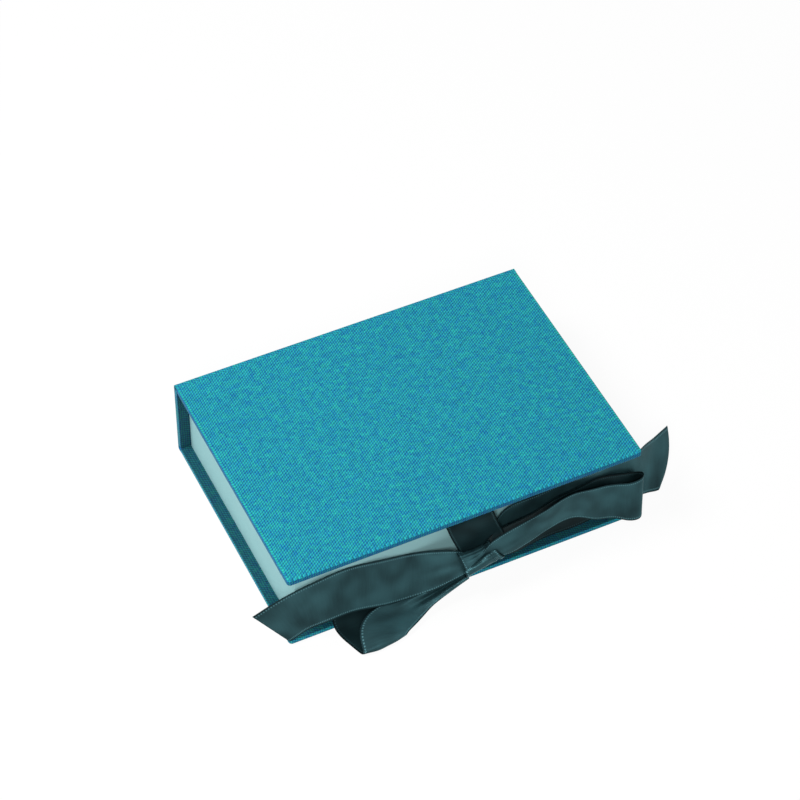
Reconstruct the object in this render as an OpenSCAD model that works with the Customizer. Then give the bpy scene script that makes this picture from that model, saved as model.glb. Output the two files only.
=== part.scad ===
// Book-style gift box: a cloth-covered case of three boards with a cloth hinge,
// a paper-covered tray glued inside it, and a satin ribbon tied in a bow at the front.
// Millimetres. +X runs along the spine, the ribbon is at the front (-Y), +Z is up.
// The origin is on the ground, under the middle of the closed case.

/* [Case] */
// Length of the case, left to right
case_l = 150; // [140:1:180]
// Depth of the case, from the front edge to the back of the spine
case_w = 109; // [100:1:140]
// Height of the closed case
case_h = 38.4; // [37:0.2:60]
// Thickness of the greyboard in the lid, spine and base
board_t = 1.9; // [1.8:0.1:2.4]
// Thickness of the book cloth
cloth_t = 0.25; // [0.2:0.05:0.35]
// Radius of the board corners, over the cloth
corner_r = 1.6; // [1:0.1:3]
// Width of the cloth turned in over the board edges
turn_in = 14; // [10:1:20]
// Free play between two boards in a cloth joint
joint_clear = 0.1; // [0.1:0.05:0.4]
// Radius of the cloth over the case's two long back edges
joint_r = 0.9; // [0.6:0.1:1.6]
// Width of each flap of the inner joint strip
joint_flap = 10; // [6:1:16]
// Margin of cloth left bare round the lid's lining
lining_margin = 5; // [3:0.5:10]

/* [Tray] */
// How far the boards stand past the tray at the front and both ends
square = 4.5; // [4:0.1:8]
// Thickness of the tray's walls
wall_t = 1.7; // [1.2:0.1:3]
// Thickness of the tray's floor
floor_t = 1.5; // [1.2:0.1:3]
// Thickness of the tray's covering paper
paper_t = 0.2; // [0.15:0.05:0.3]
// Radius of the tray's covered corners
tray_r = 0.5; // [0.3:0.05:0.6]
// Depth of the paper turned over the rim
rim_turn = 10; // [6:1:14]
// Distance from the rim down to the lining paper
rim_reveal = 2.5; // [1:0.5:4]
// Gap between the tray's rim and the lid's lining over the ribbon
lid_gap = 0.25; // [0.2:0.05:0.6]

/* [Ribbon] */
// Width of the ribbon
ribbon_w = 20; // [16:1:22]
// Thickness of the ribbon
ribbon_t = 0.35; // [0.25:0.05:0.4]
// Middle of the ribbon along the front edge
ribbon_x = 0.7; // [-2:0.1:3]
// Length of ribbon glued under the lid's lining and under the tray
anchor_l = 18; // [12:1:26]
// Play round the ribbon in its slot
slot_clear = 0.15; // [0.1:0.05:0.3]
// Length of the slot left empty past the ribbon's glued end
anchor_play = 1; // [0.5:0.1:2]

/* [Hidden] */

cloth_colour = [0.18, 0.57, 0.67];
shade_colour = [0.08, 0.36, 0.42];
board_colour = [0.60, 0.57, 0.52];
paper_colour = [0.66, 0.83, 0.83];
satin_colour = [0.20, 0.33, 0.35];

eps = 0.01;
half_l = case_l / 2;
front_y = -case_w / 2;
back_y = case_w / 2;

// Covered board: cloth, greyboard, turned-in cloth
cover_t = board_t + 2 * cloth_t;
// Distance from an outer corner of the case to the edge of each board that meets there
joint_set = cover_t + joint_clear;
lid_in = case_h - cover_t;
panel_back = back_y - joint_set;
board_r = corner_r - cloth_t;

// Tray, over its paper
tray_x = half_l - square;
tray_front = front_y + square;
tray_back = back_y - cover_t - cloth_t;
slot_h = ribbon_t + slot_clear;
rim_z = lid_in - slot_h - paper_t - lid_gap;
floor_z = cover_t + floor_t;
wall_in_x = tray_x - paper_t - wall_t;
wall_in_front = tray_front + paper_t + wall_t;
wall_in_back = tray_back - paper_t - wall_t;

// ---------- Case boards and cloth ----------

// Outline of a covered panel: round front corners, square at the joint
module panel_outline(inset, r, back) {
    x = half_l - inset;
    y = front_y + inset;
    translate([-x, y + r]) square([2 * x, back - y - r]);
    translate([-x + r, y]) square([2 * (x - r), r + eps]);
    for (side = [-1, 1]) translate([side * (x - r), y + r]) circle(r, $fn = 48);
}

module board_panel(z, back = panel_back) {
    translate([0, 0, z]) linear_extrude(board_t) panel_outline(cloth_t, board_r, back);
}

// Bare middle between the turned-in edges
module turn_in_window(z, back) {
    translate([-half_l + turn_in, front_y + turn_in, z])
        cube([case_l - 2 * turn_in, back - front_y - turn_in, cloth_t + eps]);
}

// Cloth wrapped round a board, open at the joint; turn_z is where the turned-in layer lies
module wrapped_cloth(z, turn_z) {
    difference() {
        translate([0, 0, z]) linear_extrude(cover_t) panel_outline(0, corner_r, panel_back);
        board_panel(z + cloth_t, panel_back + 1);
        turn_in_window(turn_z, panel_back + 1);
    }
}

module lid_board() {
    color(board_colour) board_panel(lid_in + cloth_t);
}

module base_board() {
    color(board_colour) board_panel(cloth_t);
}

module spine_board() {
    color(board_colour)
        translate([-half_l + cloth_t, back_y - cloth_t - board_t, joint_set])
            cube([case_l - 2 * cloth_t, board_t, case_h - 2 * joint_set]);
}

module lid_cloth() {
    color(cloth_colour) wrapped_cloth(lid_in, lid_in - eps);
}

module base_cloth() {
    color(shade_colour) wrapped_cloth(0, cover_t - cloth_t);
}

module spine_cloth() {
    spine_h = case_h - 2 * joint_set;
    color(cloth_colour) difference() {
        translate([-half_l, back_y - cover_t, joint_set]) cube([case_l, cover_t, spine_h]);
        translate([-half_l + cloth_t, back_y - cloth_t - board_t, joint_set - 1])
            cube([case_l - 2 * cloth_t, board_t, spine_h + 2]);
        translate([-half_l + turn_in, back_y - cover_t - eps, joint_set - 1])
            cube([case_l - 2 * turn_in, cloth_t + 2 * eps, spine_h + 2]);
    }
}

// ---------- Cloth joints ----------

// Section of a back edge, from the ends of its two boards, inset from the cloth's outside
module edge_section(inset) {
    reach = joint_set - inset;
    r = joint_r - inset;
    square([reach - r, reach]);
    square([reach, reach - r]);
    translate([reach - r, reach - r]) circle(r, $fn = 48);
}

// Layer of cloth over a back edge, its outside at inset
module edge_layer(inset, length) {
    rotate([90, 0, 90]) translate([0, 0, -length / 2]) linear_extrude(length) difference() {
        edge_section(inset);
        translate([-eps, -eps]) edge_section(inset + cloth_t);
    }
}

// Cloth over a back edge of the case, doubled at both ends where it is turned in
module joint_cloth(z, up) {
    translate([0, panel_back, z]) mirror([0, 0, up > 0 ? 0 : 1]) {
        edge_layer(0, case_l);
        for (side = [-1, 1]) translate([side * (half_l - turn_in / 2), 0, 0])
            edge_layer(cloth_t - eps, turn_in);
    }
}

module lid_joint_cloth() {
    color(cloth_colour) joint_cloth(case_h - joint_set, 1);
}

module base_joint_cloth() {
    color(cloth_colour) joint_cloth(joint_set, -1);
}

// Cloth strip inside the lid's joint: one flap down the spine, one under the lid
module inner_joint_strip() {
    flap_l = case_l - 2 * cloth_t;
    color(shade_colour) {
        translate([-flap_l / 2, tray_back, lid_in - joint_flap]) cube([flap_l, cloth_t, joint_flap]);
        translate([-flap_l / 2, panel_back - joint_flap, lid_in - cloth_t])
            cube([flap_l, tray_back - panel_back + joint_flap + eps, cloth_t]);
    }
}

module spine_lining() {
    lining_h = lid_in - joint_flap - cover_t;
    color(shade_colour) {
        translate([-half_l + cloth_t, tray_back, cover_t])
            cube([case_l - 2 * cloth_t, cloth_t, lining_h]);
        translate([-half_l + turn_in, back_y - cover_t, joint_set])
            cube([case_l - 2 * turn_in, cloth_t, lining_h - joint_set + cover_t]);
    }
}

// ---------- Lid lining ----------

lining_back = panel_back - joint_flap - slot_clear;

// Slot for the glued end of a ribbon, its floor or ceiling at z
module ribbon_slot(y, length, z) {
    slot_w = ribbon_w + 4 * slot_clear;
    translate([ribbon_x - slot_w / 2, y, z]) cube([slot_w, length, slot_h]);
}

module lid_lining() {
    margin_y = front_y + lining_margin;
    lining_l = case_l - 2 * lining_margin;
    raised_w = ribbon_w + 4 * slot_clear + 2 * paper_t;
    color(paper_colour) difference() {
        union() {
            translate([-lining_l / 2, margin_y, lid_in - paper_t])
                cube([lining_l, lining_back - margin_y, paper_t]);
            translate([-half_l + turn_in, front_y + turn_in, lid_in - eps])
                cube([case_l - 2 * turn_in, lining_back - front_y - turn_in, cloth_t + eps]);
            translate([ribbon_x - raised_w / 2, margin_y, lid_in - slot_h - paper_t])
                cube([raised_w, anchor_l + paper_t, slot_h + paper_t]);
        }
        ribbon_slot(margin_y - 1, anchor_l + 1, lid_in - slot_h);
    }
}

// ---------- Tray ----------

// Upright ring between two rectangles, the outer one inset from the tray's outside
module tray_ring(outer, inner, z0, z1, r = 0) {
    translate([0, 0, z0]) linear_extrude(z1 - z0) difference() {
        tray_outline(outer, r);
        tray_outline(inner, 0);
    }
}

module tray_outline(inset, r) {
    x = tray_x - inset;
    y0 = tray_front + inset;
    y1 = tray_back - inset;
    translate([-x + r, y0]) square([2 * (x - r), y1 - y0]);
    translate([-x, y0 + r]) square([2 * x, y1 - y0 - 2 * r]);
    if (r > 0) for (side = [-1, 1], y = [y0 + r, y1 - r])
        translate([side * (x - r), y]) circle(r, $fn = 32);
}

module end_wall(side) {
    x = side * (tray_x - paper_t - wall_t / 2);
    color(board_colour)
        translate([x - wall_t / 2, tray_front + paper_t, cover_t])
            cube([wall_t, tray_back - tray_front - 2 * paper_t, rim_z - paper_t - cover_t]);
}

module cross_wall(y) {
    translate([-wall_in_x, y, cover_t])
        cube([2 * wall_in_x, wall_t, rim_z - paper_t - cover_t]);
}

module tray_left_wall() {
    end_wall(-1);
}

module tray_right_wall() {
    end_wall(1);
}

module tray_front_wall() {
    color(board_colour) difference() {
        cross_wall(tray_front + paper_t);
        ribbon_slot(tray_front - 1, wall_t + 3, cover_t - eps);
    }
}

module tray_back_wall() {
    color(board_colour) cross_wall(tray_back - paper_t - wall_t);
}

module tray_floor() {
    color(board_colour) difference() {
        translate([-wall_in_x, wall_in_front, cover_t])
            cube([2 * wall_in_x, wall_in_back - wall_in_front, floor_t]);
        ribbon_slot(tray_front, anchor_l, cover_t - eps);
    }
}

// Paper up the outside, over the rim and a little way down inside
module tray_wrap() {
    inside = paper_t + wall_t;
    color(paper_colour) difference() {
        union() {
            tray_ring(0, paper_t, cover_t, rim_z, tray_r);
            tray_ring(paper_t - eps, inside + paper_t, rim_z - paper_t, rim_z);
            tray_ring(inside, inside + paper_t, rim_z - rim_turn, rim_z);
        }
        ribbon_slot(tray_front - 1, paper_t + 2, cover_t - eps);
    }
}

// Paper on the floor and up the inside, lapped over the turned rim paper
module tray_lining() {
    inside = paper_t + wall_t;
    color(paper_colour) {
        tray_ring(inside, inside + 2 * paper_t, floor_z, rim_z - rim_turn);
        tray_ring(inside + paper_t, inside + 2 * paper_t, floor_z, rim_z - rim_reveal);
        translate([0, 0, floor_z]) linear_extrude(paper_t) tray_outline(inside + paper_t, 0);
    }
}

// ---------- Ribbon ----------

// A ribbon is a list of stations [upper edge, lower edge, cup]. Each edge point is
// [x, y, z] with y from the case's front edge; cup bows the ribbon across its width.
// The points were laid on a case 150 long with a base 2.4 thick and its tray set back
// 4.5, for a ribbon 20 wide.
laid_half_l = 75;
laid_base_t = 2.4;
laid_square = 4.5;
laid_ribbon_w = 20;
laid_ribbon_x = 0.7;
near_end = 60;
rings_per_station = 4;
ribbon_columns = 3;

left_tail_path = [
    [[-1, -2.9, 20], [-2, -5.5, 12], 0],
    [[-6, -1.5, 22.2], [-7, -5.7, 10.6], 0],
    [[-16, 2.5, 22.8], [-17, -4.5, 7.2], 0],
    [[-26, 3.8, 24.2], [-30, -3.1, 5.6], 0],
    [[-40, 3.9, 27.4], [-43, -2.5, 8.2], 0],
    [[-56, 3.9, 28.8], [-57, -2.5, 9.8], 0],
    [[-71, 3.7, 26.4], [-67, -1.5, 7.6], 0],
    [[-81.4, 3.7, 23.6], [-72, -0.8, 4.8], 0],
    [[-88.2, 3.7, 20.8], [-75.2, -0.5, 3.2], 0],
];

left_loop_path = [
    [[-2, -3.8, 12.6], [-2.4, -6.7, 9.2], 0],
    [[-10, -3, 10.6], [-8.6, -7, 7.4], 0.8],
    [[-19, -2, 7.6], [-13.6, -7.6, 4.4], 1.2],
    [[-30, -1.6, 6.2], [-18.6, -8.6, 2.8], 0.8],
    [[-40.6, -2.4, 6.4], [-23.4, -10.4, 1.6], 0.2],
    [[-47, -5.4, 6], [-27.6, -12, 1.3], 0],
    [[-50.4, -9.6, 4.2], [-30.4, -13, 1.2], 0],
    [[-51.6, -16.5, 1.8], [-32.2, -14.2, 1.3], 0],
    [[-52, -17.4, 1], [-33, -15, 0.8], 0],
    [[-54, -11.5, 0.5], [-35, -11, 0.5], 0],
    [[-56.5, -4.1, 1.6], [-37.5, -4.1, 1.6], 0],
    [[-57, 0.1, 4.6], [-38, 0.1, 3.6], 0],
    [[-54, 2.9, 12], [-38, 1.9, 4.6], 0],
    [[-40, 3.1, 17], [-32, 1.7, 4.6], 0],
    [[-20, 2, 17.6], [-18, 0.6, 6], 0],
    [[-1.6, -2.1, 17.5], [-1.6, -2.3, 12], 0],
];

right_loop_path = [
    [[3, -5.7, 19], [5, -6.1, 12], 0],
    [[6.5, -5.3, 27.4], [11, -6.3, 11.5], 1],
    [[12, -4.5, 30.6], [16, -5.1, 12.4], 1],
    [[20, -3.5, 32], [23, -3.5, 13], 0],
    [[31, -1.5, 30], [32, -0.4, 10.9], 0],
    [[46, -0.1, 28.8], [47.6, 1.1, 11.4], 0],
    [[58, 1.1, 24.9], [58, 0.9, 5], 0],
    [[65.5, 1.1, 22.4], [65, -0.5, 3.4], 0],
    [[71, 0.5, 21.3], [70.5, -2.5, 1.6], 0],
    [[76.4, 1.1, 21], [75.4, -2.5, 0.8], 0],
    [[78.4, 2.9, 21.2], [77.2, 0.1, 1.2], 0],
    [[76, 3.5, 22.4], [75.8, 2.3, 3.2], 0],
    [[70, 2.8, 25.4], [70, 2.3, 6], 0],
    [[56, 2.7, 28.4], [56, 2.3, 9], 0],
    [[40, 2.7, 26], [40, 2.5, 7], 0],
    [[22, 1.3, 21], [22, 1.1, 7], 0],
    [[8, -2.7, 18], [8, -2.9, 11], 0],
];

right_tail_path = [
    [[9, -1.1, 16], [9, -1.1, 10], 0],
    [[22, 2.7, 20], [22, 2.5, 3.6], 0],
    [[40, 3.8, 24], [40, 3.6, 4], 0],
    [[56, 3.9, 26.5], [56, 3.8, 6.5], 0],
    [[71, 4, 27.6], [71.6, 3.4, 7.6], 0],
    [[77.6, 7.4, 26.8], [78, 3.6, 6.6], 0],
    [[83.4, 11.6, 24.6], [82.8, 4.2, 5], 0],
    [[90.2, 16.8, 20.8], [86, 4.8, 3.6], 0.6],
    [[96.6, 21.6, 17], [88, 5.4, 2.8], 1.4],
    [[102.4, 25.8, 13.4], [88.6, 6, 2.4], 2.2],
];

// Heights, as laid, at which the glued ribbons reach the knot
knot_top = 22.3;
knot_foot = 10.1;

function pick(list, i) = list[max(0, min(len(list) - 1, i))];
function spline(a, b, c, d, t) =
    0.5 * (2 * b + (c - a) * t + (2 * a - 5 * b + 4 * c - d) * t * t + (3 * b - a - 3 * c + d) * t * t * t);
function unit(v) = v / norm(v);

// Station at ring k of a path
function station(path, k) =
    let (i = floor(k / rings_per_station), t = k / rings_per_station - i)
    [for (j = [0 : 2]) spline(pick(path, i - 1)[j], pick(path, i)[j], pick(path, i + 1)[j],
                              pick(path, i + 2)[j], t)];
function middle(s) = (s[0] + s[1]) / 2;
function across(s, u) = s[0] + (s[1] - s[0]) * u;

// Points of one skin, half the ribbon's thickness off the middle surface
function skin(stations, half_t) = [
    for (k = [0 : len(stations) - 1])
        let (s = stations[k],
             run = middle(pick(stations, k + 1)) - middle(pick(stations, k - 1)),
             n = unit(cross(s[1] - s[0], run)))
        for (c = [0 : ribbon_columns])
            let (u = c / ribbon_columns)
            across(s, u) + n * (4 * u * (1 - u) * s[2] + half_t)
];

// Closed strip along a path of stations
module ribbon_strip(path) {
    count = (len(path) - 1) * rings_per_station + 1;
    stations = [for (k = [0 : count - 1]) station(path, k)];
    w = ribbon_columns + 1;
    n = count * w;
    front = skin(stations, -ribbon_t / 2);
    rear = skin(stations, ribbon_t / 2);
    last = (count - 1) * w;
    sides = concat(
        [for (k = [0 : count - 2], c = [0 : ribbon_columns - 1])
            let (a = k * w + c) each [[a, a + 1, a + w], [a + 1, a + w + 1, a + w],
                                      [n + a, n + a + w, n + a + 1],
                                      [n + a + 1, n + a + w, n + a + w + 1]]],
        [for (k = [0 : count - 2])
            let (a = k * w, b = a + ribbon_columns)
            each [[a, a + w, n + a], [a + w, n + a + w, n + a],
                  [b, n + b, b + w], [b + w, n + b, n + b + w]]],
        [for (c = [0 : ribbon_columns - 1])
            each [[c, n + c, c + 1], [c + 1, n + c, n + c + 1],
                  [last + c, last + c + 1, n + last + c],
                  [last + c + 1, n + last + c + 1, n + last + c]]]
    );
    polyhedron(points = concat(front, rear), faces = sides, convexity = 8);
}

// The bow's points, moved with the case's ends, front edge, tray and base, and with the knot
function past_end(x) = abs(x) > near_end ? sign(x) * (half_l - laid_half_l) : 0;
function with_knot(x) = (ribbon_x - laid_ribbon_x) * max(0, 1 - abs(x) / near_end);
function over_margin(y) = y < 0 ? y : y < laid_square ? y * square / laid_square : y + square - laid_square;
function above_base(z) = z + cover_t - laid_base_t;
function seat(p) = [p[0] + past_end(p[0]) + with_knot(p[0]), over_margin(p[1]) + front_y, above_base(p[2])];

// A station with its lower edge in place and its upper edge moved to suit the ribbon's width
bow_scale = ribbon_w / laid_ribbon_w;
function widen(d) = [d[0] * bow_scale, d[1], d[2] * bow_scale];
function seat_station(s) = let (lower = seat(s[1])) [lower + widen(seat(s[0]) - lower), lower, s[2]];

module bow_ribbon(path) {
    color(satin_colour) ribbon_strip([for (s = path) seat_station(s)]);
}

// Station of a glued ribbon: each edge moved in, at y from the front edge and height z
function glued_station(left_in, right_in, y, z) =
    let (half_w = ribbon_w / 2)
    [[ribbon_x - half_w + left_in * bow_scale, y + front_y, z],
     [ribbon_x + half_w - right_in * bow_scale, y + front_y, z], 0];

// The stretch of a ribbon that is glued into its slot, from y = in_y
function glued_end(in_y, z) =
    [for (y = [in_y + anchor_l - anchor_play, in_y]) glued_station(0, 0, y, z)];

// Down over the lid's front edge to the knot
module lid_ribbon() {
    z = lid_in - slot_h / 2;
    end_z = above_base(knot_foot + (knot_top - knot_foot) * bow_scale);
    over_edge = z - 4;
    color(satin_colour) ribbon_strip(concat(glued_end(lining_margin, z), [
        glued_station(0, 0, 0.6, z),
        glued_station(0.2, -0.2, -0.4, z - 0.9),
        glued_station(1, -1, -0.7, over_edge),
        glued_station(2.6, -2.6, -0.8, (over_edge + end_z) / 2),
        glued_station(4.3, -4.3, -1.1, end_z),
    ]));
}

// Out over the base's margin and up to the knot, gathered as it goes in
module base_ribbon() {
    z = cover_t + slot_h / 2;
    rise = above_base(knot_foot) - z;
    color(satin_colour) ribbon_strip(concat(glued_end(square, z), [
        glued_station(0.4, 0.4, 1.4, z + 0.03 * rise),
        glued_station(2.5, 1.8, -0.4, z + 0.22 * rise),
        glued_station(7, 3.6, -1.6, z + 0.62 * rise),
        glued_station(10, 4.8, -2.8, z + rise),
    ]));
}

// Knot: a short wrap round the gathered ribbons, slanting down to the right.
// [corner from the knot's middle, radius there]
knot_middle = [4.5, -4, 14.6];
knot_corners = [
    [[-5, 0, 4.4], 3.6],
    [[2.5, 0, 2.4], 4],
    [[6, 0, -2.6], 3.6],
    [[-3.5, 0, -4.1], 3.8],
];

module bow_knot() {
    color(satin_colour) translate(seat(knot_middle)) hull()
        for (corner = knot_corners)
            translate(corner[0] * bow_scale) sphere(corner[1] * bow_scale, $fn = 28);
}

module left_loop() {
    bow_ribbon(left_loop_path);
}

module right_loop() {
    bow_ribbon(right_loop_path);
}

module left_tail() {
    bow_ribbon(left_tail_path);
}

module right_tail() {
    bow_ribbon(right_tail_path);
}

lid_board();
spine_board();
base_board();
lid_cloth();
spine_cloth();
base_cloth();
lid_joint_cloth();
base_joint_cloth();
inner_joint_strip();
lid_lining();
spine_lining();
tray_floor();
tray_left_wall();
tray_right_wall();
tray_front_wall();
tray_back_wall();
tray_wrap();
tray_lining();
lid_ribbon();
base_ribbon();
bow_knot();
left_loop();
right_loop();
left_tail();
right_tail();
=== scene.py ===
"""Book-style gift box with a cloth-covered case, a paper-covered tray and a satin ribbon
tied in a bow: the looks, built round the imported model. Helpers work in millimetres in the
part's own frame: +X along the spine, the ribbon at the front (-Y), +Z up."""

import math

import bmesh
import bpy
import numpy as np
from mathutils import Matrix, Vector

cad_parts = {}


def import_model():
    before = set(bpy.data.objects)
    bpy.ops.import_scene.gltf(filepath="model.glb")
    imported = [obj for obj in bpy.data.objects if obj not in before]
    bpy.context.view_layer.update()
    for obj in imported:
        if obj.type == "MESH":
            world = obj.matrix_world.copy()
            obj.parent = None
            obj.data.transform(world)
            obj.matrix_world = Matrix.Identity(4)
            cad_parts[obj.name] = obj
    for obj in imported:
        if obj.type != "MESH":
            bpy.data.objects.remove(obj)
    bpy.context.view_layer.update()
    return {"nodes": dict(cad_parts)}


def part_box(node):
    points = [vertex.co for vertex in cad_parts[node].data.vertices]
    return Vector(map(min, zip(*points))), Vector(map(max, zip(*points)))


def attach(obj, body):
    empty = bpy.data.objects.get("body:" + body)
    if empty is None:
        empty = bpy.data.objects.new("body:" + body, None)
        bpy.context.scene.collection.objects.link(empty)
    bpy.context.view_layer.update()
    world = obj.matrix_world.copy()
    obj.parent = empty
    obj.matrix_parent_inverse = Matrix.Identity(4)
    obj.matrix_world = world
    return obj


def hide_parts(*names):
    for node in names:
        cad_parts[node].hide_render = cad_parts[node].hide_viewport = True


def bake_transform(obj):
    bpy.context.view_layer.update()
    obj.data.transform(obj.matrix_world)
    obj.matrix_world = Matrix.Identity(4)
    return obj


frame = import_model()

MM = 0.001


def span(node):
    """Lowest and highest corner of a CAD node, in millimetres."""
    low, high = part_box(node)
    return np.array(low) / MM, np.array(high) / MM


# ---------- Measures ----------

# From the frame, in millimetres
LID_LOW, LID_HIGH = span("lid_cloth")
STRIP_LOW, STRIP_HIGH = span("inner_joint_strip")
SPINE_HIGH = span("spine_cloth")[1]
HALF_L = LID_HIGH[0]
FRONT_Y = LID_LOW[1]
BACK_Y = SPINE_HIGH[1]
PANEL_BACK = LID_HIGH[1]
CASE_H = LID_HIGH[2]
LID_IN = LID_LOW[2]
COVER_T = span("base_cloth")[1][2]
JOINT_SET = BACK_Y - PANEL_BACK

# As in the part's source, in millimetres
CLOTH_T = 0.25
CORNER_R = 1.6
JOINT_R = 0.9
TURN_IN = 14.0
SLOT_H = 0.5
RIBBON_W = 20.0
RIBBON_X = 0.7

# Thinner than in the part's source: the ribbon, and half of the cloth inside the lid's joint
RIBBON_T = 0.3
STRIP_HALF_T = 0.06

# Only here: the rounding of a covered board's edges, and of the edges of plain nodes
EDGE_R = 0.35
SOFT_R = 0.12


# ---------- Camera, floor and light ----------

def look():
    """The photograph's view, solved from the case's corners: a long lens, above and to the left
    of the front."""
    right = (0.90078, -0.43414, 0.01070)
    up = (0.31885, 0.67790, 0.66241)
    back = (-0.29483, -0.59328, 0.74906)
    place = (-0.32521, -0.64874, 0.86926)
    lens = bpy.data.cameras.new("camera")
    lens.sensor_width = 36
    lens.lens = 127.63
    camera = bpy.data.objects.new("camera", lens)
    bpy.context.scene.collection.objects.link(camera)
    camera.matrix_world = Matrix([*zip(right, up, back, place), (0, 0, 0, 1)])
    bpy.context.scene.camera = camera


class Shader:
    """One material's nodes. A value is a number, a tuple or another node's output."""

    def __init__(self, name, **constants):
        """constants sets inputs of the surface; _ stands for a space in an input's name."""
        self.material = bpy.data.materials.new(name)
        self.material.use_nodes = True
        self.tree = self.material.node_tree
        self.surface = self.tree.nodes["Principled BSDF"]
        for socket, value in constants.items():
            self.surface.inputs[socket.replace("_", " ")].default_value = value

    def put(self, socket, value):
        """Gives a socket a value, or links it."""
        if isinstance(value, bpy.types.NodeSocket):
            self.tree.links.new(value, socket)
        else:
            socket.default_value = value

    def node(self, kind, inputs, **settings):
        """A new node; inputs are found by number or name."""
        made = self.tree.nodes.new("ShaderNode" + kind)
        for key, value in settings.items():
            setattr(made, key, value)
        for key, value in inputs.items():
            self.put(made.inputs[key], value)
        return made

    def math(self, operation, *values):
        return self.node("Math", dict(enumerate(values)), operation=operation).outputs[0]

    def add(self, a, b):
        return self.math("ADD", a, b)

    def minus(self, a, b):
        return self.math("SUBTRACT", a, b)

    def times(self, a, b):
        return self.math("MULTIPLY", a, b)

    def one_minus(self, share):
        return self.minus(1.0, share)

    def centred(self, value):
        """A value of 0 to 1 moved to lie round 0."""
        return self.minus(value, 0.5)

    def total(self, start, *terms):
        """start plus each term's value times its weight."""
        for value, weight in terms:
            start = self.add(self.times(value, weight), start)
        return start

    def wave(self, phase, function="SINE"):
        """Wave whose phase is in whole turns."""
        return self.math(function, self.times(phase, 2 * math.pi))

    def ramp(self, value, low, high, to_low=0.0, to_high=1.0):
        """Smooth step of a value from low to high."""
        inputs = {0: value, 1: low, 2: high, 3: to_low, 4: to_high}
        return self.node("MapRange", inputs, interpolation_type="SMOOTHSTEP").outputs[0]

    def point(self, x=0.0, y=0.0, z=0.0):
        return self.node("CombineXYZ", {0: x, 1: y, 2: z}).outputs[0]

    def noise(self, place, scale=1.0, detail=2.0, roughness=0.5):
        inputs = {"Vector": place, "Scale": scale, "Detail": detail, "Roughness": roughness}
        return self.node("TexNoise", inputs, noise_dimensions="3D").outputs[0]

    def mix(self, factor, a, b):
        """Colour between a and b."""
        return self.node("Mix", {0: factor, 6: a, 7: b}, data_type="RGBA").outputs[2]

    def scale(self, vector, factor):
        return self.node("VectorMath", {0: vector, "Scale": factor}, operation="SCALE").outputs[0]

    def split(self, vector):
        return self.node("SeparateXYZ", {0: vector}).outputs

    def uv_mm(self, layer):
        """Coordinates of a UV map that holds metres, in millimetres."""
        uv = self.node("UVMap", {}, uv_map=layer).outputs[0]
        return self.split(self.scale(uv, 1 / MM))

    def object_mm(self):
        """Place on the object, in millimetres."""
        return self.scale(self.node("TexCoord", {}).outputs["Object"], 1 / MM)

    def bump(self, height, distance_mm, strength):
        inputs = {"Height": height, "Distance": distance_mm * MM, "Strength": strength}
        self.put(self.surface.inputs["Normal"], self.node("Bump", inputs).outputs[0])

    def finish(self, colour, roughness=None):
        self.put(self.surface.inputs["Base Color"], colour)
        if roughness is not None:
            self.put(self.surface.inputs["Roughness"], roughness)
        return self.material


def rgb(red, green, blue):
    """Linear colour of an sRGB one given as 0 to 255."""
    def linear(c):
        c /= 255
        return c / 12.92 if c <= 0.04045 else ((c + 0.055) / 1.055) ** 2.4
    return (linear(red), linear(green), linear(blue), 1)


def camera_rays(tree):
    """1 where a ray comes from the camera, a mirror or clear glass."""
    path = tree.nodes.new("ShaderNodeLightPath")
    total = path.outputs["Is Camera Ray"]
    for name in ("Is Glossy Ray", "Is Transmission Ray"):
        most = tree.nodes.new("ShaderNodeMath")
        most.operation = "MAXIMUM"
        tree.links.new(total, most.inputs[0])
        tree.links.new(path.outputs[name], most.inputs[1])
        total = most.outputs[0]
    return total


def floor():
    """White to the camera, with a faint trace of the shadow, and pale to the light."""
    shadow_share = 0.12
    glow_strength = 1.07
    pale = (0.62, 0.62, 0.62, 1)
    half = 3.0
    corners = [(-half, -half, 0), (half, -half, 0), (half, half, 0), (-half, half, 0)]
    mesh = bpy.data.meshes.new("floor")
    mesh.from_pydata(corners, [], [(0, 1, 2, 3)])
    made = bpy.data.objects.new("floor", mesh)
    bpy.context.scene.collection.objects.link(made)
    shader = Shader("floor_paper", Base_Color=pale, Roughness=1.0, Specular_IOR_Level=0.0)
    glow = shader.node("Emission", {"Color": (1, 1, 1, 1), "Strength": glow_strength})
    share = shader.times(camera_rays(shader.tree), 1 - shadow_share)
    both = shader.node("MixShader", {0: share, 1: shader.surface.outputs[0], 2: glow.outputs[0]})
    output = shader.tree.nodes["Material Output"]
    shader.tree.links.new(both.outputs[0], output.inputs["Surface"])
    mesh.materials.append(shader.material)


def world():
    """Soft grey light from all round, white where the camera looks past the floor."""
    ambient = 0.07
    made = bpy.data.worlds.new("studio")
    bpy.context.scene.world = made
    made.use_nodes = True
    tree = made.node_tree
    background = tree.nodes["Background"]
    strength = tree.nodes.new("ShaderNodeMapRange")
    tree.links.new(camera_rays(tree), strength.inputs[0])
    strength.inputs[3].default_value = ambient
    strength.inputs[4].default_value = 1.0
    background.inputs["Color"].default_value = (1, 1, 1, 1)
    tree.links.new(strength.outputs[0], background.inputs["Strength"])


def lamp(name, place, target, size, power):
    """Square soft light, in metres and watts."""
    data = bpy.data.lights.new(name, "AREA")
    data.shape = "SQUARE"
    data.size = size
    data.energy = power
    made = bpy.data.objects.new(name, data)
    bpy.context.scene.collection.objects.link(made)
    made.location = place
    made.rotation_mode = "QUATERNION"
    made.rotation_quaternion = (Vector(target) - Vector(place)).to_track_quat("-Z", "Y")


def lights():
    """A key light from behind and to the left, and a fill light from the front left."""
    middle = (0, 0, 0.02)
    lamp("key", (-0.55, 0.2, 0.9), middle, 0.4, 7.6)
    lamp("fill", (-0.45, -0.8, 0.85), middle, 0.3, 6.6)


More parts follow.
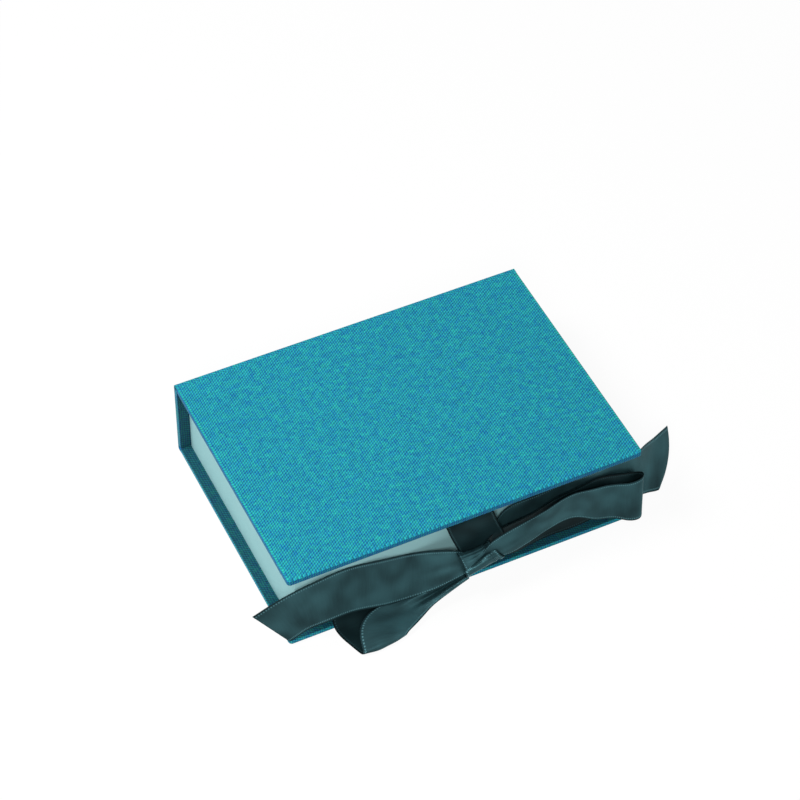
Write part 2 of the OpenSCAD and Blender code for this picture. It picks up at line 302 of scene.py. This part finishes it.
# ---------- Meshes ----------

def piece(name, points, faces, uv, material, sharp=35.0):
    """A mesh object from points in millimetres; uv holds one pair in metres per point."""
    mesh = bpy.data.meshes.new(name)
    mesh.from_pydata([tuple(p) for p in np.asarray(points, float) * MM], [], faces)
    mesh.update()
    layer = mesh.uv_layers.new(name="cloth")
    uv = np.asarray(uv, float)
    index = np.zeros(len(mesh.loops), int)
    mesh.loops.foreach_get("vertex_index", index)
    layer.data.foreach_set("uv", uv[index].astype(np.float32).ravel())
    mesh.shade_smooth()
    mesh.set_sharp_from_angle(angle=math.radians(sharp))
    mesh.materials.append(material)
    made = bpy.data.objects.new(name, mesh)
    bpy.context.scene.collection.objects.link(made)
    return made


def unit(v):
    """Vectors brought to length 1."""
    return v / np.maximum(np.linalg.norm(v, axis=-1, keepdims=True), 1e-9)


def sheet_mesh(name, grid, uv, half_t, material, inside=None):
    """Closed sheet about a grid of middle points (rows, columns, 3); half_t is half its thickness.
    inside is the side, 0 or 1, that faces the inside of a loop; the satin paints that side darker,
    as shade."""
    rows, columns = grid.shape[:2]
    normal = unit(np.cross(np.gradient(grid, axis=1), np.gradient(grid, axis=0)))
    half_t = np.broadcast_to(np.asarray(half_t, float), (rows, columns))[..., None]
    sides = [grid - normal * half_t, grid + normal * half_t]
    points = np.concatenate([side.reshape(-1, 3) for side in sides])
    other = rows * columns

    def at(r, c):
        return r * columns + c

    faces = []
    for r in range(rows - 1):
        for c in range(columns - 1):
            quad = (at(r, c), at(r, c + 1), at(r + 1, c + 1), at(r + 1, c))
            faces.append(quad)
            faces.append(tuple(other + k for k in reversed(quad)))
    for r in range(rows - 1):
        for c, flip in ((0, False), (columns - 1, True)):
            quad = (at(r, c), at(r + 1, c), other + at(r + 1, c), other + at(r, c))
            faces.append(quad[::-1] if flip else quad)
    for c in range(columns - 1):
        for r, flip in ((0, False), (rows - 1, True)):
            quad = (at(r, c), at(r, c + 1), other + at(r, c + 1), other + at(r, c))
            faces.append(quad[::-1] if flip else quad)
    both = np.concatenate([uv.reshape(-1, 2)] * 2)
    made = piece(name, points, faces, both, material, sharp=50.0)
    if inside is not None:
        marks = np.zeros((2, other), np.float32)
        marks[inside] = 1
        layer = made.data.attributes.new("inside", "FLOAT", "POINT")
        layer.data.foreach_set("value", marks.ravel())
    return made


def lengths_along(points):
    """Distance along a polyline, from its first point."""
    steps = np.linalg.norm(np.diff(points, axis=0), axis=1)
    return np.concatenate([[0], np.cumsum(steps)])


def spline(points, per_span):
    """Catmull-Rom curve through rows of numbers."""
    p = np.asarray(points, float)
    last = len(p) - 1
    rows = []
    for i in range(last):
        a, b, c, d = p[max(i - 1, 0)], p[i], p[i + 1], p[min(i + 2, last)]
        for t in np.arange(per_span) / per_span:
            rows.append(0.5 * (2 * b + (c - a) * t + (2 * a - 5 * b + 4 * c - d) * t ** 2
                               + (3 * b - a - 3 * c + d) * t ** 3))
    return np.array(rows + [p[last]])


def even(rows, along, step):
    """Rows resampled at even distances along, and those distances."""
    count = max(2, int(round(along[-1] / step)) + 1)
    places = np.linspace(0, along[-1], count)
    return np.stack([np.interp(places, along, column) for column in rows.T], axis=1), places


def soften(rows, width):
    """Rows averaged with their neighbours, with the first and last kept in place."""
    reach = int(width * 3)
    kernel = np.exp(-0.5 * (np.arange(-reach, reach + 1) / width) ** 2)
    kernel /= kernel.sum()
    before = 2 * rows[:1] - rows[reach:0:-1]
    after = 2 * rows[-1:] - rows[-2:-reach - 2:-1]
    padded = np.concatenate([before, rows, after])
    return np.stack([np.convolve(column, kernel, "valid") for column in padded.T], axis=1)


# ---------- Materials ----------

# Pitch of the weave's columns across and of its rows along, in millimetres
WARP_PITCH = 0.95
WEFT_PITCH = 0.60


def weave_place(shader, by_uv):
    """Places across the columns and along them, in millimetres. Without a UV map they come
    from the place on the case: x across, and one line that runs on over its back corners."""
    if by_uv:
        out = shader.uv_mm("cloth")
        return out[0], out[1]
    x, y, z = shader.split(shader.object_mm())
    return x, shader.minus(y, z)


def book_cloth(name, by_uv=True, shade=1.0):
    """Plain weave of paired green and blue threads, spun unevenly. A shade under 1 darkens it
    above the base's edge, where the photo shows it deep green: painted shade, for the lid's
    shade over the base. Without one, what lies lower than the lid's top is bluer and darker
    than the top: painted shade, for the sides that the lamps light less."""
    green = rgb(42, 186, 166)
    blue = rgb(14, 113, 182)
    shader = Shader(name, Roughness=0.82, Specular_IOR_Level=0.22, Sheen_Weight=0.06,
                    Sheen_Roughness=0.5)
    across, along = weave_place(shader, by_uv)
    flat = shader.point(across, along)
    turned = shader.point(along, across, 7.0)

    # Columns and rows sway a little, and are numbered
    sway = shader.times(shader.centred(shader.noise(flat, 0.25, 2.0)), 0.7)
    lean = shader.times(shader.centred(shader.noise(turned, 0.25, 2.0)), 0.7)
    column = shader.add(shader.times(across, 1 / WARP_PITCH), sway)
    row = shader.add(shader.times(along, 1 / WEFT_PITCH), lean)
    column_id = shader.math("FLOOR", column)
    row_id = shader.math("FLOOR", row)

    # Which thread lies on top, and how far each stands up
    over = shader.math("ABSOLUTE", shader.math("MODULO", shader.add(column_id, row_id), 2.0))
    arch_column = shader.math("ABSOLUTE", shader.math("SINE", shader.times(column, math.pi)))
    arch_row = shader.math("ABSOLUTE", shader.math("SINE", shader.times(row, math.pi)))
    arch = shader.math("POWER", shader.times(arch_column, arch_row), 0.6)
    twist = shader.math("COSINE", shader.times(shader.minus(column, row), math.pi))
    stripe = shader.wave(column, "COSINE")
    shader.bump(shader.add(shader.times(arch, 0.8), shader.times(over, 0.2)), 0.10, 0.6)

    # Unevenness: in short runs along a thread, in cloudy patches and from crossing to crossing
    along_column = shader.point(shader.times(column_id, 3.17), shader.times(along, 0.5), 2.0)
    along_row = shader.point(shader.times(across, 0.3), shader.times(row_id, 3.17), 9.0)
    column_run = shader.centred(shader.noise(along_column, 1.0, 2.0))
    row_run = shader.centred(shader.noise(along_row, 1.0, 2.0))
    patch = shader.centred(shader.noise(flat, 0.38, 3.0, 0.6))
    grain = shader.centred(shader.noise(shader.point(column_id, row_id, 4.0), 1.7, 0.0))

    # Hue runs from blue at 0 to green at 1
    hue = shader.total(0.44, (stripe, 0.38), (patch, 1.0), (column_run, 0.8), (row_run, 0.35),
                       (grain, 0.42))
    light = shader.total(0.76, (twist, -0.35), (arch, 0.5), (stripe, 0.18), (row_run, 0.5),
                         (grain, 0.4))
    z = shader.split(shader.object_mm())[2]
    # Painted shade: a shade under 1 darkens the cloth above the base's edge, as if shaded by the
    # lid
    if shade < 1:
        fade = shader.ramp(z, COVER_T - 0.35, COVER_T - 0.15, 1.0, shade)
    else:
        # Painted shade: all that lies below the lid's top rim is darker and bluer, as if the lamps
        # lit it less
        below_top_painted_shade = shader.ramp(z, CASE_H - EDGE_R, CASE_H - 0.02, 1.0, 0.0)
        hue = shader.total(hue, (below_top_painted_shade, -0.3))
        fade = shader.total(1.0, (below_top_painted_shade, -0.24))
    hue = shader.math("MAXIMUM", shader.math("MINIMUM", hue, 1.0), 0.0)
    return shader.finish(shader.scale(shader.mix(hue, blue, green), shader.times(light, fade)))


def greyboard():
    """Recycled board: grey-brown pulp with darker flecks."""
    shader = Shader("greyboard", Roughness=0.95, Specular_IOR_Level=0.15)
    place = shader.object_mm()
    pulp = shader.noise(place, 1.2, 5.0, 0.65)
    fleck = shader.ramp(shader.noise(place, 2.6, 2.0), 0.62, 0.7)
    colour = shader.mix(pulp, rgb(128, 120, 108), rgb(168, 160, 146))
    shader.bump(shader.add(pulp, shader.times(fleck, 0.3)), 0.06, 0.5)
    return shader.finish(shader.mix(shader.times(fleck, 0.5), colour, rgb(92, 86, 78)))


def tray_paper():
    """Dyed covering paper with short fibres and a faint cloudiness."""
    shader = Shader("tray_paper", Roughness=0.8, Specular_IOR_Level=0.25)
    place = shader.object_mm()
    cloud = shader.noise(place, 0.12, 3.0)
    fibre = shader.noise(place, 3.2, 4.0, 0.7)
    colour = shader.mix(cloud, rgb(154, 208, 212), rgb(168, 220, 223))
    colour = shader.mix(shader.ramp(fibre, 0.35, 0.75), colour, rgb(178, 226, 228))
    shader.bump(fibre, 0.04, 0.5)
    return shader.finish(colour, shader.total(0.72, (fibre, 0.15)))


def satin(name, gloss, tone=1.0):
    """Dark satin ribbon: fine cross ribs, a corded selvedge with a row of stitches inside it,
    and the coloured gloss of its long floats, which spreads across the ribbon. The side that
    faces the inside of a loop is darker and more matt: painted shade for the loops' insides.
    tone scales the colour; under 1 it paints shade over the whole ribbon."""
    stitch_pitch = 0.85
    rib_pitch = 0.36
    tint = (0.5, 0.78, 0.82, 1)
    shader = Shader(name, Anisotropic=0.6, Specular_IOR_Level=0.04, Specular_Tint=tint)
    across, along, _ = shader.uv_mm("cloth")
    flat = shader.point(across, along)
    edge = shader.math("MINIMUM", across, shader.minus(RIBBON_W, across))
    cord = shader.one_minus(shader.ramp(edge, 0.35, 0.75))
    row = shader.times(shader.ramp(edge, 0.55, 0.8), shader.one_minus(shader.ramp(edge, 1.15, 1.4)))
    stitches = shader.wave(shader.times(along, 1 / stitch_pitch))
    stitch = shader.times(row, shader.ramp(stitches, -0.1, 0.5))
    rib = shader.wave(shader.add(shader.times(along, 1 / rib_pitch), shader.noise(flat, 0.4, 1.0)))
    stretched = shader.point(shader.times(across, 0.15), shader.times(along, 1.1))
    streak = shader.noise(stretched, 1.0, 2.0)
    cloud = shader.noise(shader.point(across, along, 3.0), 0.09, 1.0)
    blend = shader.total(shader.times(streak, 0.12), (cloud, 0.88))
    colour = shader.mix(shader.ramp(blend, 0.2, 0.8), rgb(36, 57, 61), rgb(60, 97, 103))
    colour = shader.mix(shader.times(cord, 0.7), colour, rgb(22, 38, 42))
    colour = shader.mix(shader.times(stitch, 0.85), colour, rgb(96, 142, 150))

    # inside is 1 on the inner side of a loop and 0 elsewhere; there colour and gloss are lowered as
    # painted shade
    inside = shader.node("Attribute", {}, attribute_name="inside").outputs["Fac"]
    colour = shader.scale(colour, shader.times(shader.total(1.0, (inside, -0.75)), tone))
    metallic = shader.times(shader.total(1.0, (inside, -0.7)), gloss)
    shader.put(shader.surface.inputs["Metallic"], metallic)
    tangent = shader.node("Tangent", {}, direction_type="UV_MAP", uv_map="cloth").outputs[0]
    shader.put(shader.surface.inputs["Tangent"], tangent)
    shader.bump(shader.total(stitch, (rib, 0.2), (cord, 0.8)), 0.06, 0.5)
    return shader.finish(colour, shader.total(0.32, (streak, 0.06)))


# Brightness of the cloth inside the case, as a share of the outside's: painted shade, for the shade
# under the lid
INNER_SHADE = 0.24

look()
floor()
world()
lights()
MATERIALS = {
    "book_cloth": book_cloth("book_cloth"),
    # Book cloth with painted shade, for the cloth inside the case
    "inner_cloth": book_cloth("inner_cloth", shade=INNER_SHADE),
    "greyboard": greyboard(),
    "tray_paper": tray_paper(),
    "satin": satin("satin", 0.45),
    # Darker, less glossy satin for the glued ribbons: painted shade, for the lid's shade over them
    "satin_painted_shade": satin("satin_painted_shade", 0.12, tone=0.4),
    "node_cloth": book_cloth("node_cloth", by_uv=False),
    # The same painted shade, for the CAD nodes inside the case
    "node_inner_painted_shade": book_cloth("node_inner_painted_shade", by_uv=False, shade=INNER_SHADE),
}

# Finish of each CAD node
NODE_FINISH = {
    "greyboard": ["lid_board", "spine_board", "base_board", "tray_floor", "tray_left_wall",
                  "tray_right_wall", "tray_front_wall", "tray_back_wall"],
    "tray_paper": ["tray_wrap", "tray_lining", "lid_lining"],
    "node_cloth": ["lid_cloth", "spine_cloth", "lid_joint_cloth", "base_joint_cloth"],
    "node_inner_painted_shade": ["base_cloth", "inner_joint_strip", "spine_lining"],
    "satin": ["lid_ribbon", "base_ribbon", "bow_knot", "left_loop", "right_loop", "left_tail",
              "right_tail"],
}
for finish, names in NODE_FINISH.items():
    for name in names:
        slots = frame["nodes"][name].data.materials
        slots.clear()
        slots.append(MATERIALS[finish])
for name in ("tray_wrap", "spine_cloth", "base_joint_cloth", "tray_lining"):
    bevel = frame["nodes"][name].modifiers.new("soft_edges", "BEVEL")
    bevel.width = SOFT_R * MM
    bevel.segments = 2
    bevel.limit_method = "ANGLE"
    bevel.angle_limit = math.radians(50)


# ---------- Case ----------

CORNER_STEPS = 10


def panel_ring(inset, z):
    """Outline of a covered board from its back left corner round the front to its back right."""
    x = HALF_L - inset
    y = FRONT_Y + inset
    r = max(CORNER_R - inset, 0)
    ring = [(-x, PANEL_BACK, z)]
    for centre_x, first in ((-x + r, 180), (x - r, 270)):
        for k in range(CORNER_STEPS + 1):
            a = math.radians(first + 90 * k / CORNER_STEPS)
            ring.append((centre_x + r * math.cos(a), y + r + r * math.sin(a), z))
    ring.append((x, PANEL_BACK, z))
    return ring


def panel_profile(outer_z, inner_z):
    """How far in and how high each ring of a covered board lies, from the turned-in cloth's cut
    edge round the board's edge to its outer face."""
    up = 1 if outer_z > inner_z else -1
    height = abs(outer_z - inner_z)
    cut = 0.05
    flat_in = EDGE_R + 0.6
    arc = [math.radians(a) for a in range(0, 91, 18)]
    inner = [(TURN_IN, CLOTH_T), (TURN_IN, cut), (TURN_IN - cut, 0.0), (flat_in, 0.0)]
    inner += [(EDGE_R * (1 - math.sin(a)), EDGE_R * (1 - math.cos(a))) for a in arc]
    outer = [(EDGE_R * (1 - math.cos(a)), height - EDGE_R * (1 - math.sin(a))) for a in arc]
    profile = [(inset, inner_z + up * rise) for inset, rise in inner + outer]
    return profile + [(flat_in, outer_z)]


def covered_panel(name, material, outer_z, inner_z):
    """Cloth wrapped round a board: its face at outer_z, the turned-in edges at inner_z. The
    map lays the cloth flat: round an edge it runs on outward from the face."""
    profile = panel_profile(outer_z, inner_z)
    travel = lengths_along(np.array(profile)) - TURN_IN
    rings = [panel_ring(inset, z) for inset, z in profile]
    count = len(rings[0])
    quarter = count // 4
    points, uv, faces = [], [], []
    for ring, (inset, z), along in zip(rings, profile, travel):
        spread = along - inset if z != outer_z else -inset
        for k, p in enumerate(ring):
            side = int(k >= count - 1 - quarter) - int(k <= quarter)
            front = 0 if side else 1
            points.append(p)
            uv.append(((p[0] - side * spread) * MM, (p[1] + front * spread) * MM))
    for j in range(len(rings) - 1):
        for k in range(count - 1):
            a = j * count + k
            faces.append((a, a + 1, a + count + 1, a + count))
    last = (len(rings) - 1) * count
    faces.append(tuple(range(last, last + count)))
    if outer_z < inner_z:
        faces = [face[::-1] for face in faces]
    made = piece(name, points, faces, uv, material)
    close_mesh(made)
    return made


def close_mesh(made):
    """Merges points that meet and drops the faces that they leave without an area."""
    touching = 1e-7
    work = bmesh.new()
    work.from_mesh(made.data)
    bmesh.ops.remove_doubles(work, verts=work.verts, dist=touching)
    bmesh.ops.dissolve_degenerate(work, edges=work.edges, dist=touching)
    work.to_mesh(made.data)
    work.free()


lid_cover = covered_panel("lid_cover", MATERIALS["book_cloth"], CASE_H, LID_IN)
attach(lid_cover, "lid")
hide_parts("lid_cloth")
# The base's cover takes the cloth with painted shade: darker above its edge, under the lid
base_cover = covered_panel("base_cover", MATERIALS["inner_cloth"], 0.0, COVER_T)
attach(base_cover, "box")
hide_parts("base_cloth")


# ---------- Joint ----------

def prism_sheet(name, line, half_t, material, half_width):
    """Sheet along a line of (y, z) points, twice half_width wide along X."""
    columns = 60
    line = np.asarray(line, float)
    x = np.linspace(-half_width, half_width, columns)[None, :]
    along = lengths_along(line)[:, None]
    grid = np.stack(np.broadcast_arrays(x, line[:, 0:1], line[:, 1:2]), axis=-1)
    uv = np.stack(np.broadcast_arrays(x * MM, along * MM), axis=-1)
    return sheet_mesh(name, grid, uv, half_t, material)


def outer_joint():
    """Case cloth over the lid's back edge, from the spine's back to the lid's top."""
    inset = CLOTH_T / 2
    reach = JOINT_SET - inset
    r = JOINT_R - inset
    corner_y = PANEL_BACK + reach - r
    corner_z = CASE_H - JOINT_SET + reach - r
    legs = np.linspace(0, reach - r, 6)
    turn = np.linspace(0, math.pi / 2, 12)[1:-1]
    line = [(PANEL_BACK + reach, CASE_H - JOINT_SET + step) for step in legs]
    line += [(corner_y + r * math.cos(a), corner_z + r * math.sin(a)) for a in turn]
    line += [(PANEL_BACK + step, CASE_H - inset) for step in legs[::-1]]
    made = prism_sheet("lid_joint_cover", line, CLOTH_T / 2, MATERIALS["book_cloth"], HALF_L)
    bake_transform(made)
    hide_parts("lid_joint_cloth")


def inner_strip():
    """Cloth inside the lid's joint. Closed, its slack is folded into the joint: fold holds the
    slack's places past the strip's line and above the spine's top."""
    fold = [(0.25, 0.15), (1.0, 0.15), (1.9, 0.2), (1.8, 0.7), (1.1, 1.5), (0.5, 2.0), (0.16, 1.7),
            (0.14, 0.9), (0.08, 0.25)]
    spine_y = STRIP_HIGH[1] - CLOTH_T / 2
    lid_z = LID_IN - CLOTH_T / 2
    top = SPINE_HIGH[2]
    line = [(spine_y, z) for z in np.linspace(STRIP_LOW[2], top, 12)]
    line += [(spine_y + y, top + z) for y, z in fold]
    line += [(y, lid_z) for y in np.linspace(spine_y - 0.15, STRIP_LOW[1], 12)]
    line = spline(line, per_span=3)
    half_width = HALF_L - CLOTH_T
    made = prism_sheet("inner_strip", line, STRIP_HALF_T, MATERIALS["inner_cloth"], half_width)
    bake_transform(made)
    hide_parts("inner_joint_strip")


outer_joint()
inner_strip()


# ---------- Ribbon ----------

# Stations of each ribbon: [upper edge, lower edge, cup] in millimetres, y from the front edge.
# They are the part's, some of them moved a little to follow the photo more closely.
PATHS = {
    "left_tail": [
        [(-1, -2.9, 20), (-2, -5.5, 12), 0],
        [(-6, -1.5, 22.2), (-7, -5.7, 10.6), 0],
        [(-16, 2.5, 22.8), (-17, -4.5, 7.2), 0],
        [(-26, 3.8, 24.2), (-30, -3.1, 5.6), 0],
        [(-40, 3.9, 27.4), (-43, -2.5, 8.2), 0],
        [(-56, 3.9, 28.8), (-57, -2.5, 9.8), 0],
        [(-71, 3.7, 26.4), (-67, -1.5, 7.6), 0],
        [(-81.4, 3.7, 23.6), (-72, -0.8, 4.8), 0],
        [(-88.2, 3.7, 20.8), (-75.2, -0.5, 3.2), 0],
    ],
    "left_loop": [
        [(-2, -3.8, 12.6), (-2.4, -6.7, 9.2), 0],
        [(-10, -3, 10.8), (-8.6, -7.5, 7.4), 0.6],
        [(-19, -2, 8.2), (-13.8, -7.9, 5.4), 1.0],
        [(-30, -1.6, 7), (-19, -9, 3.9), 0.8],
        [(-40.6, -2.4, 6.6), (-24, -11.1, 2.7), 0.5],
        [(-47, -5.4, 6), (-28, -12.9, 2), 0.3],
        [(-50.4, -9.6, 4.2), (-31, -14.2, 1.7), -0.4],
        [(-51.6, -16.5, 1.8), (-33, -15.2, 1.5), -1.4],
        [(-52, -17.4, 1), (-34, -15.8, 0.8), -1.2],
        [(-54, -11.5, 0.5), (-35, -11, 0.5), -0.2],
        [(-56.5, -4.1, 1.6), (-37.5, -4.1, 1.6), 0],
        [(-57, 0.1, 4.6), (-38, 0.1, 3.6), 0],
        [(-54, 2.9, 12), (-38, 1.9, 4.6), 0],
        [(-40, 3.1, 17), (-32, 1.7, 4.6), 0],
        [(-20, 2, 17.6), (-18, 0.6, 6), 0],
        [(-1.6, -2.1, 17.5), (-1.6, -2.3, 12), 0],
    ],
    "right_loop": [
        [(3.4, -5.7, 20.5), (6, -6.3, 14.5), 0],
        [(6.3, -5.3, 24.2), (11, -6.4, 15.6), 0.8],
        [(11, -4.9, 26), (17, -6, 14.9), 1.2],
        [(20, -3.9, 26.8), (24.4, -5.1, 15.6), 0.8],
        [(31.7, -2.4, 28.2), (34, -2.2, 15.6), 0],
        [(46, -0.6, 29), (47.6, 0.6, 12), 0],
        [(58, 1.1, 24.9), (58, 0.9, 5), 0],
        [(65.5, 1.1, 22.4), (65, -0.5, 3.4), 0],
        [(71, 0.5, 21.3), (70.5, -2.5, 1.6), 0],
        [(76.4, 1.1, 21), (75.4, -2.5, 0.8), 0],
        [(78.4, 2.9, 21.2), (77.2, 0.1, 1.2), 0],
        [(76, 3.5, 22.4), (75.8, 2.3, 3.2), 0],
        [(70, 2.8, 25.4), (69, 2.3, 4.4), 0],
        [(56, 2.7, 28.4), (56, 2.1, 4.8), 0],
        [(43, 2.6, 26.9), (42, 2.1, 4.4), 0],
        [(30, 1.8, 24), (28, 1.4, 4.6), 0],
        [(20.5, 0.6, 23.8), (20.5, 0.3, 5), 0],
        [(12, -0.8, 24), (13, -1, 8), 0],
        [(7.1, -2, 22.8), (8, -2.2, 11), 0],
        [(4.3, -2.7, 19.6), (4.3, -2.9, 13), 0],
    ],
    "right_tail": [
        [(9, -1.1, 16), (9, -1.1, 10), 0],
        [(12.6, 1.4, 27.4), (16, 1.4, 8), 0],
        [(20.6, 3.2, 31.2), (24, 3, 9.6), 0],
        [(38, 3.9, 31.4), (39, 3.8, 11), 0],
        [(56, 3.95, 32), (56, 3.8, 11), 0],
        [(70, 4.2, 31.6), (71.6, 3.5, 9.4), 0],
        [(77.2, 7.4, 29.4), (78, 3.7, 7), 0],
        [(83.4, 11.6, 26), (82.8, 4.2, 5.2), 0],
        [(90.2, 16.8, 20.8), (86, 4.8, 3.6), 0.6],
        [(96.6, 21.6, 17), (88, 5.4, 2.8), 1.4],
        [(102.4, 25.8, 13.4), (88.6, 6, 2.4), 2.2],
    ],
}

# Millimetres from row to row of a ribbon's mesh, and points across it
STEP = 0.6
COLUMNS = 28

# Pleats: how many across, their depth as a share of the cloth in half a pleat, and how soon
# they fade as the ribbon widens
PLEATS = 2.0
PLEAT_SHARE = 0.3
PLEAT_FADE = 1.5

# Slight waves along a ribbon: their height, and how far they run for one radian, in millimetres
WAVE_H = 0.35
WAVE_RUN = 3.7


def ribbon_grid(path, smooth=2.0, phase=0.3, gather=0.2):
    """Middle surface of a ribbon. Where it is narrower than its cut width, it is pleated, as
    deep as gather allows. Between its ends it waves a little; phase shifts pleats and waves."""
    rows = [[*upper, *lower, cup] for upper, lower, cup in path]
    fine = spline(rows, per_span=24)
    middle = (fine[:, 0:3] + fine[:, 3:6]) / 2
    fine, along = even(fine, lengths_along(middle), STEP)
    fine = soften(fine, smooth)
    upper = fine[:, 0:3] + (0, FRONT_Y, 0)
    lower = fine[:, 3:6] + (0, FRONT_Y, 0)
    cup = fine[:, 6:7]
    run = np.gradient((upper + lower) / 2, axis=0)
    normal = unit(np.cross(lower - upper, run))
    width = np.linalg.norm(lower - upper, axis=1, keepdims=True)
    u = np.linspace(0, 1, COLUMNS)[None, :]
    spare = np.maximum(1 - (width / RIBBON_W) ** 2, 0) ** PLEAT_FADE
    depth = np.minimum(PLEAT_SHARE * RIBBON_W * spare / (2 * PLEATS), gather * width)
    pleat = depth * np.sin(2 * np.pi * (PLEATS * u + phase)) * np.sin(np.pi * u)
    along = along[:, None]
    between_ends = np.sin(np.pi * along / along[-1]) ** 0.5
    wave = WAVE_H * np.sin(along / WAVE_RUN + 4 * phase) * between_ends
    lift = 4 * u * (1 - u) * cup + pleat + wave
    across = (lower - upper)[:, None] * u[..., None]
    grid = upper[:, None] + across + normal[:, None] * lift[..., None]
    uv = np.stack(np.broadcast_arrays(u * RIBBON_W * MM, along * MM), axis=-1)
    return grid, uv


def ribbon_thickness():
    """Half the ribbon's thickness: thin, with a corded selvedge at both edges."""
    cord_place = 0.7
    cord_spread = 0.5
    u = np.linspace(0, 1, COLUMNS)
    edge = np.minimum(u, 1 - u) * RIBBON_W
    cord = np.exp(-((edge - cord_place) / cord_spread) ** 2)
    return RIBBON_T / 2 * (0.75 + 0.45 * cord)


def ribbon(name, path, body, node, flat_length, held, rests_on, finish="satin", inside=None,
           **shape):
    """One length of ribbon in place of a node; flat_length, in metres, is not used."""
    grid, uv = ribbon_grid(path, **shape)
    made = sheet_mesh(name, grid, uv, ribbon_thickness(), MATERIALS[finish], inside=inside)
    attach(made, body)
    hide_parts(node)


def glued(left_in, right_in, y, z):
    """Station of a ribbon that is glued down at the middle, with its edges moved in."""
    half_w = RIBBON_W / 2
    return [(RIBBON_X - half_w + left_in, y, z), (RIBBON_X + half_w - right_in, y, z), 0]


LID_SLOT_Z = LID_IN - SLOT_H / 2
BASE_SLOT_Z = COVER_T + SLOT_H / 2
LID_RIBBON = [glued(0, 0, y, LID_SLOT_Z) for y in (22, 5, 0.6)] + [
    glued(0.2, -0.2, -0.4, LID_SLOT_Z - 0.9),
    glued(1, -1, -0.7, LID_SLOT_Z - 4),
    glued(2.6, -2.6, -0.8, LID_SLOT_Z - 8.75),
    glued(4.3, -4.3, -1.1, LID_SLOT_Z - 13.45),
    glued(5.4, -3.6, -1.3, LID_SLOT_Z - 16.6),
]
BASE_RIBBON = [glued(0, 0, y, BASE_SLOT_Z) for y in (21.5, 4.5)] + [
    glued(0.4, 0.4, 1.4, BASE_SLOT_Z + 0.2),
    glued(2.5, 1.8, -0.4, BASE_SLOT_Z + 1.6),
    glued(7, 3.6, -1.6, BASE_SLOT_Z + 4.6),
    glued(10, 4.8, -2.8, BASE_SLOT_Z + 7.4),
]
ribbon("left_tail_ribbon", PATHS["left_tail"], "box", "left_tail", 0.086, "folded",
       ["left_loop_ribbon"], gather=0.02)
ribbon("left_loop_ribbon", PATHS["left_loop"], "box", "left_loop", 0.116, "folded",
       ["base_cover"], inside=1, smooth=2.5, phase=0.05, gather=0.22)
ribbon("right_loop_ribbon", PATHS["right_loop"], "box", "right_loop", 0.155, "folded",
       ["base_cover"], inside=0, phase=0.1, gather=0.0)
ribbon("right_tail_ribbon", PATHS["right_tail"], "box", "right_tail", 0.096, "folded",
       ["base_cover"])
# The glued ribbons take the satin with painted shade
ribbon("lid_tie_ribbon", LID_RIBBON, "lid", "lid_ribbon", 0.04, "hung", ["lid_cover"],
       finish="satin_painted_shade", smooth=0.8)
ribbon("base_tie_ribbon", BASE_RIBBON, "box", "base_ribbon", 0.03, "folded", ["base_cover"],
       finish="satin_painted_shade", smooth=0.8)


# ---------- Knot ----------

def knot():
    """Band wrapped once round the gathered ribbons. u runs from its left edge to its right,
    and degrees go round it: 90 at the top, 180 at the front."""
    left = -4.8
    width = 15.4
    half_t = 0.2
    measured_column = 20
    degrees = np.linspace(-20, 338, 150)[:, None]
    turns = np.radians(degrees)
    u = np.linspace(0, 1, 44)[None, :]
    places = [0, 0.12, 0.5, 0.85, 1]
    half_h = np.interp(u, places, [6.1, 5.5, 4.4, 3.6, 3.7])
    half_d = np.interp(u, places, [4.2, 4.0, 3.7, 3.4, 3.7])
    middle_z = np.interp(u, [0, 0.5, 1], [15.6, 16.2, 18.0])
    middle_y = FRONT_Y - 4.2
    slant = np.interp(u, [0, 1], [1.2, 2.6])

    def crease(angle_left, angle_right, spread, depth_left, depth_right):
        """Furrow or ridge across the band, at angles in degrees and as deep as given."""
        angle = angle_left + (angle_right - angle_left) * u
        depth = depth_left + (depth_right - depth_left) * u
        return depth * np.exp(-((degrees - angle) / spread) ** 2)

    def fold(place, spread, height):
        """Ridge round the band, where its edge is turned over."""
        return height * np.exp(-((u - place) / spread) ** 2)

    lift = crease(178, 112, 9, -1.3, -1.1) + crease(200, 150, 20, 0.3, 0.6)
    lift = lift + crease(152, 92, 12, 0.5, 0.5) + crease(228, 190, 8, -0.3, -0.3)
    lift = lift + 0.08 * np.sin(17 * turns + 5 * u)
    lift = lift + fold(0.93, 0.05, 0.45) + fold(0.78, 0.04, 0.3)
    y = middle_y + (half_d + lift) * np.cos(turns)
    z = middle_z + (half_h + lift) * np.sin(turns)
    x = left + width * u - slant * np.sin(turns)
    grid = np.stack(np.broadcast_arrays(x, y, z), axis=-1)
    along = lengths_along(grid[:, measured_column])
    uv = np.stack(np.broadcast_arrays(u * RIBBON_W * MM, along[:, None] * MM), axis=-1)
    made = sheet_mesh("knot_band", grid[::-1], uv[::-1], half_t, MATERIALS["satin"])
    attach(made, "box")
    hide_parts("bow_knot")


knot()

scene = bpy.context.scene
scene.view_settings.view_transform = "Standard"
bpy.context.view_layer.update()
